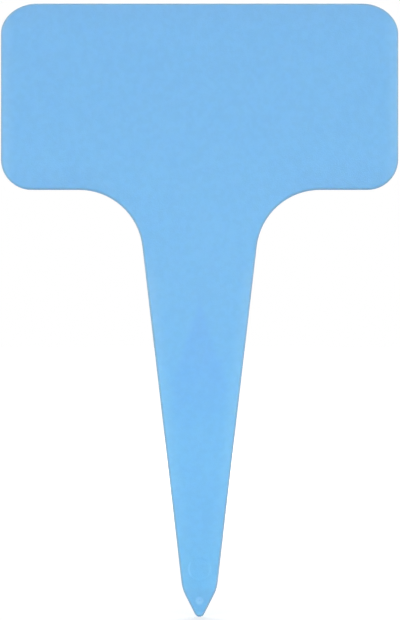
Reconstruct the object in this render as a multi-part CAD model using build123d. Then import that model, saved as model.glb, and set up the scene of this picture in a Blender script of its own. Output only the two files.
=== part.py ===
from build123d import *
from math import radians, sin, tan
import os

# T-shaped plant label, one moulding of thin plastic: a writing panel on a pointed stem.
# X is its width, Z points up and the writing face looks along -Y.
# Sizes are in millimetres and angles in degrees. Heights are measured up from the tip.
# At the end the label is lowered so that the origin lies on the soil line.

# Outline, seen from the front
OVERALL_HEIGHT = 100.0
PANEL_WIDTH = 64.8
PANEL_HEIGHT = 30.4
TOP_CORNER_WIDTH = 6.0
TOP_CORNER_HEIGHT = 5.0
LOWER_CORNER_RADIUS = 5.0
STEM_TOP_WIDTH = 20.8  # where the stem's sides, drawn on, meet the panel's underside
STEM_END_WIDTH = 5.64  # across the shoulders of the point
ROOT_RADIUS = 10.4  # between the panel's underside and the stem
SHOULDER_RADIUS = 6.0
POINT_ANGLE = 54.0
TIP_RADIUS = 0.85
SOIL_LINE_HEIGHT = 45.0

# Plate
PLATE_THICKNESS = 1.0
FRONT_EDGE_RADIUS = 0.5
BACK_EDGE_RADIUS = 0.15
POINT_BEVEL_DEPTH = 0.2  # taken off the front at the tip

# Spine on the back of the stem
SPINE_START_HEIGHT = 54.0
SPINE_FULL_HEIGHT = 38.0  # from here down it fills the stem between two narrow lands
SPINE_LAND = 1.5
SPINE_CREST_WIDTH = 0.8
SPINE_RISE = 0.9  # at the shoulders

# Marks that the mould leaves on the front: an ejector pin's circle and the gate
PIN_MARK_DIAMETER = 3.8
PIN_MARK_RIM_WIDTH = 0.3  # of its sloping wall, seen from the front
PIN_MARK_DEPTH = 0.03
PIN_MARK_HEIGHT = 7.85
GATE_MARK_DIAMETER = 1.4
GATE_MARK_DEPTH = 0.08
GATE_MARK_HEIGHT = 2.68
GATE_NUB_DIAMETER = 0.4
GATE_NUB_SINK = 0.04

front = -PLATE_THICKNESS / 2
back = PLATE_THICKNESS / 2
underside_height = OVERALL_HEIGHT - PANEL_HEIGHT
half_point_angle = radians(POINT_ANGLE / 2)
tip_round_off = TIP_RADIUS / sin(half_point_angle) - TIP_RADIUS
shoulder_height = STEM_END_WIDTH / 2 / tan(half_point_angle) - tip_round_off


def outline():
    """The front outline, with the tip at the sketch's origin."""
    half_panel = PANEL_WIDTH / 2
    corner_x = half_panel - TOP_CORNER_WIDTH
    corner_y = OVERALL_HEIGHT - TOP_CORNER_HEIGHT
    right = [
        (half_panel, corner_y),
        (half_panel, underside_height),
        (STEM_TOP_WIDTH / 2, underside_height),
        (STEM_END_WIDTH / 2, shoulder_height),
    ]
    left = [(-x, y) for x, y in reversed(right)]
    apex = (0, -tip_round_off)
    face = make_face(
        Line((-corner_x, OVERALL_HEIGHT), (corner_x, OVERALL_HEIGHT))
        + EllipticalCenterArc((corner_x, corner_y), TOP_CORNER_WIDTH, TOP_CORNER_HEIGHT, 0)
        + Polyline(*right, apex, *left)
        + EllipticalCenterArc((-corner_x, corner_y), TOP_CORNER_WIDTH, TOP_CORNER_HEIGHT, 90)
    )
    radii = [LOWER_CORNER_RADIUS, ROOT_RADIUS, SHOULDER_RADIUS]
    for (x, y), radius in zip(right[1:], radii):
        pair = [face.vertices().sort_by_distance((side * x, y))[0] for side in (-1, 1)]
        face = fillet(pair, radius)
    return fillet(face.vertices().sort_by_distance(apex)[0], TIP_RADIUS)


def plate():
    """The flat plate, with its point bevelled on the front and its edges rounded."""
    slab = extrude(Plane.XZ.offset(-back) * outline(), amount=PLATE_THICKNESS)
    bevel = Plane((0, front, shoulder_height), (1, 0, 0), (0, -shoulder_height, -POINT_BEVEL_DEPTH))
    slab = split(slab, bevel, keep=Keep.BOTTOM)
    writing_face, bevel_face = [face.edges() for face in slab.faces().sort_by(Axis.Y)[:2]]
    slab = slab.fillet(FRONT_EDGE_RADIUS, writing_face + bevel_face - (writing_face & bevel_face))
    return slab.fillet(BACK_EDGE_RADIUS, slab.faces().sort_by(Axis.Y)[-1].edges())


def spine_section(height):
    """The spine's section at a height: a low trapezium standing on the plate's back."""
    share = (height - shoulder_height) / (underside_height - shoulder_height)
    stem_width = STEM_END_WIDTH + share * (STEM_TOP_WIDTH - STEM_END_WIDTH)
    half_base = stem_width / 2 - SPINE_LAND
    half_crest = SPINE_CREST_WIDTH / 2
    slope = SPINE_RISE / (SPINE_START_HEIGHT - shoulder_height)
    crest = back + slope * (SPINE_START_HEIGHT - height)
    corners = [(-half_base, back), (half_base, back), (half_crest, crest), (-half_crest, crest)]
    return (Plane.XY.offset(height) * Polygon(*corners, align=None)).face()


def spine():
    """The keel that stiffens the stem: it starts at a point and rises all the way to the shoulders."""
    start = Vertex(0, back, SPINE_START_HEIGHT)
    wide = spine_section(SPINE_FULL_HEIGHT)
    narrow = spine_section(shoulder_height)
    end = Vertex(0, back, SPINE_LAND / sin(half_point_angle) - tip_round_off)
    spans = [(wide, start), (narrow, wide), (narrow, end)]
    return Part() + [loft(span, ruled=True) for span in spans]


def pin_mark():
    """The shallow round recess that an ejector pin leaves, with a sloping wall."""
    mouth_radius = PIN_MARK_DIAMETER / 2
    floor_radius = mouth_radius - PIN_MARK_RIM_WIDTH
    mouth_on_top = (Align.CENTER, Align.CENTER, Align.MAX)
    recess = Cone(floor_radius, mouth_radius, PIN_MARK_DEPTH, align=mouth_on_top)
    return Plane.XZ.offset(-front) * Pos(0, PIN_MARK_HEIGHT) * recess


def gate_mark(body):
    """The body with the gate's dish cut in its bevel, and the broken nub standing in the dish."""
    surface = front + POINT_BEVEL_DEPTH * (1 - GATE_MARK_HEIGHT / shoulder_height)
    half_width = GATE_MARK_DIAMETER / 2
    ball_radius = (half_width**2 + GATE_MARK_DEPTH**2) / (2 * GATE_MARK_DEPTH)
    ball = Pos(0, surface + GATE_MARK_DEPTH - ball_radius, GATE_MARK_HEIGHT) * Sphere(ball_radius)
    nub_top = Plane.XZ.offset(-surface - GATE_NUB_SINK)
    circle = Pos(0, GATE_MARK_HEIGHT) * Circle(GATE_NUB_DIAMETER / 2)
    return body - ball + extrude(nub_top * circle, amount=-GATE_MARK_DEPTH)


label_stake = Pos(0, 0, -SOIL_LINE_HEIGHT) * gate_mark(plate() + spine() - pin_mark())

os.makedirs("parts", exist_ok=True)
export_step(label_stake, "parts/label_stake.step")
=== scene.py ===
import bpy
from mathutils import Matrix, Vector


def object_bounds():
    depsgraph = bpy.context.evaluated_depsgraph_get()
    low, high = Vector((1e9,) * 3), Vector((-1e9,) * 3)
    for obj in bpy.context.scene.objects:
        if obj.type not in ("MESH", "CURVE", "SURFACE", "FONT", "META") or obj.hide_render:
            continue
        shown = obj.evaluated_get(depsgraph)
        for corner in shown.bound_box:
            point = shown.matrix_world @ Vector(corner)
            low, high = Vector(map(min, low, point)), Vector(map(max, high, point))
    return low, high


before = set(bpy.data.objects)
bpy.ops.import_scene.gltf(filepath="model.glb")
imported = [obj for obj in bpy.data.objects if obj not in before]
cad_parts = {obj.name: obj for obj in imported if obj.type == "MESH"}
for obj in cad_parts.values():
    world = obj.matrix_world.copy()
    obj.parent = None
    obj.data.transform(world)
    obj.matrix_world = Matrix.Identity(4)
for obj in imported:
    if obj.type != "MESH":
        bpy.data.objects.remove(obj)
cad_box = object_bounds()
cad_low, cad_high = cad_box
middle = (cad_low + cad_high) / 2
tip_height = cad_low.z

# A plant label stake of frosted blue plastic, seen square from the front on a pale floor.
# Lengths are in metres in the frame of the CAD model, and colours are linear.

# The photograph: its size in pixels, and the rows and the column that the label's ends and middle are on
IMAGE_WIDTH = 400
IMAGE_HEIGHT = 620
TOP_ROW = 3.48
TIP_ROW = 616.72
MIDDLE_COLUMN = 199.55
LENS = 300.0  # millimetres, as Blender's cameras take it
SENSOR = 36.0

# Stage
WHITE = (1.0, 1.0, 1.0, 1.0)
AMBIENT = 0.35
FLOOR_SIZE = 12.0
FLOOR_COLOUR = (0.68, 0.68, 0.68, 1.0)
NEAR_GLOW = 0.45  # only for what the camera sees, so that the pale floor reads as white
FAR_GLOW = 0.85
GLOW_SPAN = (0.15, 0.8)  # distances from the tip, between which the glow changes

# Lamps: places from the label's middle, widths and heights, and power in watts
FRONT_LAMP_PLACE = Vector((0.0, -2.0, 0.7))
FRONT_LAMP_SIZE = (2.0, 1.2)
FRONT_LAMP_POWER = 26.3
SIDE_LAMP_PLACE = Vector((0.7, -0.05, 0.0))
SIDE_LAMP_SIZE = (0.3, 0.5)
SIDE_LAMP_POWER = 1.6
BACK_LAMP_PLACE = Vector((0.0, 0.9, 0.6))
BACK_LAMP_SIZE = (0.6, 0.6)
BACK_LAMP_POWER = 6.3

# Outline, with heights above the tip
PANEL_HALF_WIDTH = cad_high.x
TOP_HEIGHT = cad_high.z - cad_low.z
UNDERSIDE_HEIGHT = 0.0696
STEM_TOP_HALF_WIDTH = 0.0104  # at the underside's height
SHOULDER_HEIGHT = 0.0045
SHOULDER_HALF_WIDTH = 0.00282
SPINE_START_HEIGHT = 0.0540  # of the keel on the back
SPINE_SPREAD = 0.326  # how fast its half width grows downwards, until narrow lands are left beside it
SPINE_LAND = 0.0015

# Blues of the moulding, from the panel down to the tip: brighter down the stem, partly as painted light,
# and darker at the tip as painted shade on its downward bevel
PANEL_BLUE = (0.179, 0.490, 0.838, 1.0)
ROOT_BLUE = (0.194, 0.526, 0.877, 1.0)
STEM_BLUE = (0.184, 0.548, 0.930, 1.0)
LOW_STEM_BLUE = (0.177, 0.545, 0.907, 1.0)
TIP_BLUE_PAINTED_SHADE = (0.184, 0.530, 0.877, 1.0)
PANEL_TO_ROOT = (0.095, 0.055)  # heights between which one blue turns into the next
ROOT_TO_STEM = (0.058, 0.028)
STEM_TO_LOW_STEM = (0.016, 0.009)
LOW_STEM_TO_TIP = (0.0052, 0.0041)

# Tints that multiply the blue
SIDE_PAINTED_LIGHT_TINT = (1.20, 1.06, 1.0, 1.0)  # SIDE_PAINTED_LIGHT_TINT = (1.20, 1.06, 1.0, 1.0) # painted light: paler towards the left and right sides
SIDE_REACH = 0.0026
SIDE_HEIGHTS = (0.060, 0.054)  # between which the stem's pale sides begin, below its root
LOW_SIDE_HEIGHTS = (0.008, 0.032)  # between which their paleness grows from a share to full
LOW_SIDE_SHARE = 0.4
END_PAINTED_SHADE_TINT = (0.995, 0.965, 0.968, 1.0)  # END_PAINTED_SHADE_TINT = (0.995, 0.965, 0.968, 1.0) # painted shade: deeper along the panel's top and underside
END_REACH = 0.0055
OVERHANG = (0.012, 0.019)  # from the middle line, where the panel starts to overhang the stem
SPINE_TINT = (0.950, 0.943, 1.008, 1.0)  # deeper where the spine backs the plate
SPINE_SOFTNESS = 0.0016
SPINE_HEIGHTS = (0.027, 0.042)  # between which this depth of colour grows from a share to full
LOW_SPINE_SHARE = 0.2
TIP_END_PAINTED_LIGHT_TINT = (1.42, 1.25, 1.12, 1.0)  # TIP_END_PAINTED_LIGHT_TINT = (1.42, 1.25, 1.12, 1.0) # painted light: paler where the tip rounds off
TIP_END_HEIGHT = 0.0011

# Greyer rim of the plate: painted shade on its rounded edges, and wear. A turn is the part of the
# surface's direction that lies along an axis.
RIM_GREY_SHADE_AND_WEAR = (0.248, 0.452, 0.658, 1.0)
EDGE_GREYING = (0.7, 1.0)  # least and most, along an edge
EDGE_TURN = (0.988, 0.82)  # EDGE_TURN = (0.988, 0.82) # towards front or back, where the greying starts and where it is full
UNDER_TURN = (-0.3, -0.9)  # downwards, where it gets less and where it is least
UNDER_GREYING = 0.35
RIM_PATCH_SIZE = 0.003
SPINE_DEPTH = 0.00051  # what lies further back than this belongs to the spine

# Marks of the mould on the front, with a painted highlight on the sides of the pin's ring
FRONT_VIEW = (1.0, 0.0, 1.0)  # leaves out how deep a point lies
GATE_HEIGHT = 0.00268
GATE_RADIUS = (0.00088, 0.00045)  # where its pale spot starts, and where it is palest
GATE_NUB_RADIUS = 0.0002
GATE_TINT = (1.40, 1.15, 1.08, 1.0)
PIN_MARK_HEIGHT = 0.00785
PIN_RING_RADIUS = 0.00175  # of the middle of its sloping wall
PIN_RING_WIDTH = 0.00026
PIN_RING_SIDES = (0.0011, 0.0017)  # PIN_RING_SIDES = (0.0011, 0.0017) # from the middle line: only the ring's left and right get the painted highlight
PIN_RING_PAINTED_HIGHLIGHT = (1.22, 1.11, 1.06, 1.0)

# Surface
NOISE_SPAN = (0.3, 0.7)  # what most of a noise lies between
NOISE_DETAIL = 2.0
CLOUD_SIZE = 0.0009
CLOUD_SPREAD = (0.979, 1.021)
SCATTER_DEPTH = 0.0012
SCATTER_BY_COLOUR = (1.0, 0.6, 0.35)
SCATTER_WEIGHT = 0.5
GRAIN_SIZE = 0.00018
GRAIN_DEPTH = 0.00001
FRONT_TURN = (0.0, -0.5)  # where the surface starts to count as front, and where it does fully
FRONT_ROUGHNESS = 0.55
BACK_ROUGHNESS = 0.42
POLISH_SIZE = 0.0015
POLISH_DETAIL = 4.0
POLISH_SPREAD = (-0.03, 0.03)


def put(tree, value, target):
    """Puts a number, a colour or another node's output on an input."""
    if isinstance(value, bpy.types.NodeSocket):
        tree.links.new(value, target)
    else:
        target.default_value = value


def add(tree, kind, inputs=None, **settings):
    """A new node of a kind, with its settings and inputs by name."""
    node = tree.nodes.new(kind)
    for name, value in settings.items():
        setattr(node, name, value)
    for name, value in (inputs or {}).items():
        put(tree, value, node.inputs[name])
    return node


def reckon(tree, operation, *values):
    """The result of a math node."""
    node = add(tree, "ShaderNodeMath", operation=operation)
    for value, target in zip(values, node.inputs):
        put(tree, value, target)
    return node.outputs[0]


def product(tree, *shares):
    """Several shares multiplied."""
    result = shares[0]
    for share in shares[1:]:
        result = reckon(tree, "MULTIPLY", result, share)
    return result


def fade(tree, value, low, high, start=0.0, end=1.0):
    """A smooth change from start to end while the value goes from low to high."""
    span = {"Value": value, "From Min": low, "From Max": high, "To Min": start, "To Max": end}
    return add(tree, "ShaderNodeMapRange", span, interpolation_type="SMOOTHSTEP").outputs[0]


def mixed(tree, mode, share, first, second):
    """Two colours mixed in a mode, fully where the share is 1 and leaving the first where it is 0."""
    node = add(tree, "ShaderNodeMix", {"Factor": share}, data_type="RGBA", blend_type=mode)
    for colour, target in zip((first, second), (s for s in node.inputs if s.type == "RGBA")):
        put(tree, colour, target)
    return next(s for s in node.outputs if s.type == "RGBA")


def blended(tree, share, first, second):
    """The first colour turning into the second as the share goes from 0 to 1."""
    return mixed(tree, "MIX", share, first, second)


def tinted(tree, share, colour, tint):
    """The colour, multiplied by the tint as the share goes from 0 to 1."""
    return mixed(tree, "MULTIPLY", share, colour, tint)


def noise(tree, place, size, low, high, detail=NOISE_DETAIL):
    """Clouds of a size, between a low and a high value."""
    clouds = add(tree, "ShaderNodeTexNoise", {"Vector": place, "Scale": 1 / size, "Detail": detail})
    return fade(tree, clouds.outputs["Fac"], *NOISE_SPAN, low, high)


def new_material(name):
    """An empty node material and its tree."""
    material = bpy.data.materials.new(name)
    material.use_nodes = True
    material.node_tree.nodes.clear()
    return material, material.node_tree


def seen_directly(tree):
    """1 for what the camera sees, by itself or in gloss or glass, and 0 for what lights the object."""
    path = add(tree, "ShaderNodeLightPath").outputs
    camera_or_gloss = reckon(tree, "MAXIMUM", path["Is Camera Ray"], path["Is Glossy Ray"])
    return reckon(tree, "MAXIMUM", camera_or_gloss, path["Is Transmission Ray"])


def light_world():
    """A white world that lights the object more softly than it looks."""
    world = bpy.data.worlds.new("studio")
    world.use_nodes = True
    tree = world.node_tree
    background = tree.nodes["Background"]
    put(tree, WHITE, background.inputs["Color"])
    strength = add(tree, "ShaderNodeMapRange", {"Value": seen_directly(tree), "To Min": AMBIENT})
    put(tree, strength.outputs[0], background.inputs["Strength"])
    bpy.context.scene.world = world


def pale_floor():
    """A matt floor at the tip's level. It keeps the label's shadow."""
    bpy.ops.mesh.primitive_plane_add(size=FLOOR_SIZE, location=(0, 0, tip_height))
    floor = bpy.context.object
    floor.name = "floor"
    material, tree = new_material("pale_floor")
    diffuse = add(tree, "ShaderNodeBsdfDiffuse", {"Color": FLOOR_COLOUR})
    place = add(tree, "ShaderNodeTexCoord").outputs["Object"]
    away = add(tree, "ShaderNodeVectorMath", operation="LENGTH")
    put(tree, place, away.inputs[0])
    strength = fade(tree, away.outputs["Value"], *GLOW_SPAN, NEAR_GLOW, FAR_GLOW)
    glow = add(tree, "ShaderNodeEmission", {"Strength": product(tree, strength, seen_directly(tree))})
    both = add(tree, "ShaderNodeAddShader")
    put(tree, diffuse.outputs[0], both.inputs[0])
    put(tree, glow.outputs[0], both.inputs[1])
    add(tree, "ShaderNodeOutputMaterial", {"Surface": both.outputs[0]})
    floor.data.materials.append(material)


def aimed(name, data, place, target):
    """A lamp or camera at a place, looking at a target."""
    thing = bpy.data.objects.new(name, data)
    thing.location = place
    thing.rotation_euler = (target - place).to_track_quat("-Z", "Y").to_euler()
    bpy.context.scene.collection.objects.link(thing)
    return thing


def soft_box(name, place, size, power):
    """A rectangular lamp that looks at the label's middle."""
    lamp = bpy.data.lights.new(name, "AREA")
    lamp.shape = "RECTANGLE"
    lamp.size, lamp.size_y = size
    lamp.energy = power
    aimed(name, lamp, middle + place, middle)


def studio_lamps():
    """A large lamp over the camera, one at each side, level with the label, and one high up behind it."""
    soft_box("front_lamp", FRONT_LAMP_PLACE, FRONT_LAMP_SIZE, FRONT_LAMP_POWER)
    for name, side in (("left_lamp", -1), ("right_lamp", 1)):
        soft_box(name, SIDE_LAMP_PLACE * Vector((side, 1, 1)), SIDE_LAMP_SIZE, SIDE_LAMP_POWER)
    soft_box("back_lamp", BACK_LAMP_PLACE, BACK_LAMP_SIZE, BACK_LAMP_POWER)


def front_camera():
    """The camera, square to the writing face, with the label where the photograph has it."""
    pixel = TOP_HEIGHT / (TIP_ROW - TOP_ROW)
    target = Vector((
        middle.x + (IMAGE_WIDTH / 2 - MIDDLE_COLUMN) * pixel,
        0.0,
        cad_high.z - (IMAGE_HEIGHT / 2 - TOP_ROW) * pixel,
    ))
    data = bpy.data.cameras.new("camera")
    data.lens = LENS
    data.sensor_width = SENSOR
    distance = IMAGE_HEIGHT * pixel * LENS / SENSOR
    bpy.context.scene.camera = aimed("camera", data, target - Vector((0, distance, 0)), target)


def distance_from(tree, place, height):
    """How far a point is from the label's middle line at a height above the tip, seen from the front."""
    flat = add(tree, "ShaderNodeVectorMath", operation="MULTIPLY")
    put(tree, place, flat.inputs[0])
    put(tree, FRONT_VIEW, flat.inputs[1])
    gap = add(tree, "ShaderNodeVectorMath", operation="DISTANCE")
    put(tree, flat.outputs[0], gap.inputs[0])
    put(tree, (middle.x, 0.0, tip_height + height), gap.inputs[1])
    return gap.outputs["Value"]


def blue_with_painted_light(tree, height):
    """The blue that changes a little from the panel down to the tip: brighter down the stem, partly as
    painted light, and darker at the tip as painted shade.
    """
    colour = blended(tree, fade(tree, height, *PANEL_TO_ROOT), PANEL_BLUE, ROOT_BLUE)
    colour = blended(tree, fade(tree, height, *ROOT_TO_STEM), colour, STEM_BLUE)
    colour = blended(tree, fade(tree, height, *STEM_TO_LOW_STEM), colour, LOW_STEM_BLUE)
    return blended(tree, fade(tree, height, *LOW_STEM_TO_TIP), colour, TIP_BLUE_PAINTED_SHADE)


def stem_half_width(tree, height):
    """Half the stem's width at a height, without the rounding at its root."""
    return add(tree, "ShaderNodeMapRange", {
        "Value": height,
        "From Min": SHOULDER_HEIGHT,
        "From Max": UNDERSIDE_HEIGHT,
        "To Min": SHOULDER_HALF_WIDTH,
        "To Max": STEM_TOP_HALF_WIDTH,
    }).outputs[0]


def near_sides(tree, across, height, stem_half):
    """1 at the left and right sides of the panel and the stem, and 0 further in."""
    panel = fade(tree, across, PANEL_HALF_WIDTH - SIDE_REACH, PANEL_HALF_WIDTH)
    stem = fade(tree, reckon(tree, "SUBTRACT", stem_half, across), SIDE_REACH, 0.0)
    below_root = fade(tree, height, *SIDE_HEIGHTS)
    strength = fade(tree, height, *LOW_SIDE_HEIGHTS, LOW_SIDE_SHARE, 1.0)
    return reckon(tree, "MAXIMUM", panel, product(tree, stem, below_root, strength))


def near_ends(tree, across, height):
    """1 at the panel's top and along its underside beside the stem, and 0 further in."""
    top = fade(tree, height, TOP_HEIGHT - END_REACH, TOP_HEIGHT)
    low = fade(tree, height, UNDERSIDE_HEIGHT + END_REACH, UNDERSIDE_HEIGHT)
    return reckon(tree, "MAXIMUM", top, product(tree, low, fade(tree, across, *OVERHANG)))


def over_spine(tree, across, height, stem_half):
    """1 where the spine backs the plate, less towards the tip, and 0 elsewhere."""
    below_start = reckon(tree, "SUBTRACT", SPINE_START_HEIGHT, height)
    spreading = reckon(tree, "MULTIPLY", below_start, SPINE_SPREAD)
    spine_half = reckon(tree, "MINIMUM", spreading, reckon(tree, "SUBTRACT", stem_half, SPINE_LAND))
    inside = fade(tree, reckon(tree, "SUBTRACT", spine_half, across), 0.0, SPINE_SOFTNESS)
    return product(tree, inside, fade(tree, height, *SPINE_HEIGHTS, LOW_SPINE_SHARE, 1.0))


def rim_shade_and_wear(tree, place, depth, turns):
    """How grey the plate's rim is, as painted shade on its rounded edges and as wear, and 0 on its faces,
    the spine and the gate's dish.
    """
    turned = fade(tree, reckon(tree, "ABSOLUTE", turns["Y"]), *EDGE_TURN)
    under = fade(tree, turns["Z"], *UNDER_TURN, 1.0, UNDER_GREYING)
    on_plate = reckon(tree, "LESS_THAN", depth, SPINE_DEPTH)
    off_gate = reckon(tree, "GREATER_THAN", distance_from(tree, place, GATE_HEIGHT), GATE_RADIUS[0])
    return product(tree, turned, under, on_plate, off_gate, noise(tree, place, RIM_PATCH_SIZE, *EDGE_GREYING))


def gate_mark(tree, place, in_front):
    """1 in the pale spot that the gate leaves, and 0 around it and on the broken nub."""
    from_gate = distance_from(tree, place, GATE_HEIGHT)
    spot = fade(tree, from_gate, *GATE_RADIUS)
    return product(tree, in_front, spot, fade(tree, from_gate, 0.0, GATE_NUB_RADIUS))


def pin_ring_highlight_mask(tree, place, across, in_front):
    """1 on the left and right of the ring that the ejector pin leaves, as a painted highlight where its
    sloping wall catches the side light, and 0 elsewhere.
    """
    from_ring = reckon(tree, "SUBTRACT", distance_from(tree, place, PIN_MARK_HEIGHT), PIN_RING_RADIUS)
    ring = fade(tree, reckon(tree, "ABSOLUTE", from_ring), PIN_RING_WIDTH, 0.0)
    return product(tree, in_front, ring, fade(tree, across, *PIN_RING_SIDES))


def label_plastic():
    """Frosted sky-blue polypropylene: paler at its sides as painted light, deeper over the spine, greyer
    along its rim as painted shade and wear.
    """
    material, tree = new_material("blue_plastic_frosted")
    place = add(tree, "ShaderNodeTexCoord").outputs["Object"]
    axes = add(tree, "ShaderNodeSeparateXYZ", {"Vector": place}).outputs
    across = reckon(tree, "ABSOLUTE", axes["X"])
    height = reckon(tree, "SUBTRACT", axes["Z"], tip_height)
    stem_half = stem_half_width(tree, height)
    normal = add(tree, "ShaderNodeNewGeometry").outputs["Normal"]
    turns = add(tree, "ShaderNodeSeparateXYZ", {"Vector": normal}).outputs
    in_front = fade(tree, turns["Y"], *FRONT_TURN)

    # painted light brighter down the stem, and painted shade at the tip
    colour = blue_with_painted_light(tree, height)
    # painted light: paler at the left and right sides
    colour = tinted(tree, near_sides(tree, across, height, stem_half), colour, SIDE_PAINTED_LIGHT_TINT)
    # painted shade: deeper along the panel's top and underside
    colour = tinted(tree, near_ends(tree, across, height), colour, END_PAINTED_SHADE_TINT)
    colour = tinted(tree, over_spine(tree, across, height, stem_half), colour, SPINE_TINT)
    # painted light: paler at the tip's rounded end
    colour = tinted(tree, fade(tree, height, TIP_END_HEIGHT, 0.0), colour, TIP_END_PAINTED_LIGHT_TINT)
    # painted shade and wear: greyer along the rounded rim
    colour = blended(tree, rim_shade_and_wear(tree, place, axes["Y"], turns), colour, RIM_GREY_SHADE_AND_WEAR)
    colour = tinted(tree, gate_mark(tree, place, in_front), colour, GATE_TINT)
    # painted highlight on the left and right of the pin's ring
    colour = tinted(tree, pin_ring_highlight_mask(tree, place, across, in_front), colour, PIN_RING_PAINTED_HIGHLIGHT)
    clouds = noise(tree, place, CLOUD_SIZE, *CLOUD_SPREAD)
    cloudy = add(tree, "ShaderNodeHueSaturation", {"Value": clouds, "Color": colour})

    roughness = fade(tree, in_front, 0.0, 1.0, BACK_ROUGHNESS, FRONT_ROUGHNESS)
    polish = noise(tree, place, POLISH_SIZE, *POLISH_SPREAD, POLISH_DETAIL)
    bumps = noise(tree, place, GRAIN_SIZE, 0.0, 1.0)
    grain = add(tree, "ShaderNodeBump", {"Height": bumps, "Distance": GRAIN_DEPTH})
    surface = add(tree, "ShaderNodeBsdfPrincipled", {
        "Base Color": cloudy.outputs["Color"],
        "Roughness": reckon(tree, "ADD", roughness, polish),
        "Subsurface Weight": SCATTER_WEIGHT,
        "Subsurface Radius": SCATTER_BY_COLOUR,
        "Subsurface Scale": SCATTER_DEPTH,
        "Normal": grain.outputs["Normal"],
    })
    add(tree, "ShaderNodeOutputMaterial", {"Surface": surface.outputs[0]})
    return material


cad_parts["label_stake"].material_slots[0].material = label_plastic()
light_world()
pale_floor()
studio_lamps()
front_camera()
bpy.context.scene.view_settings.view_transform = "Standard"
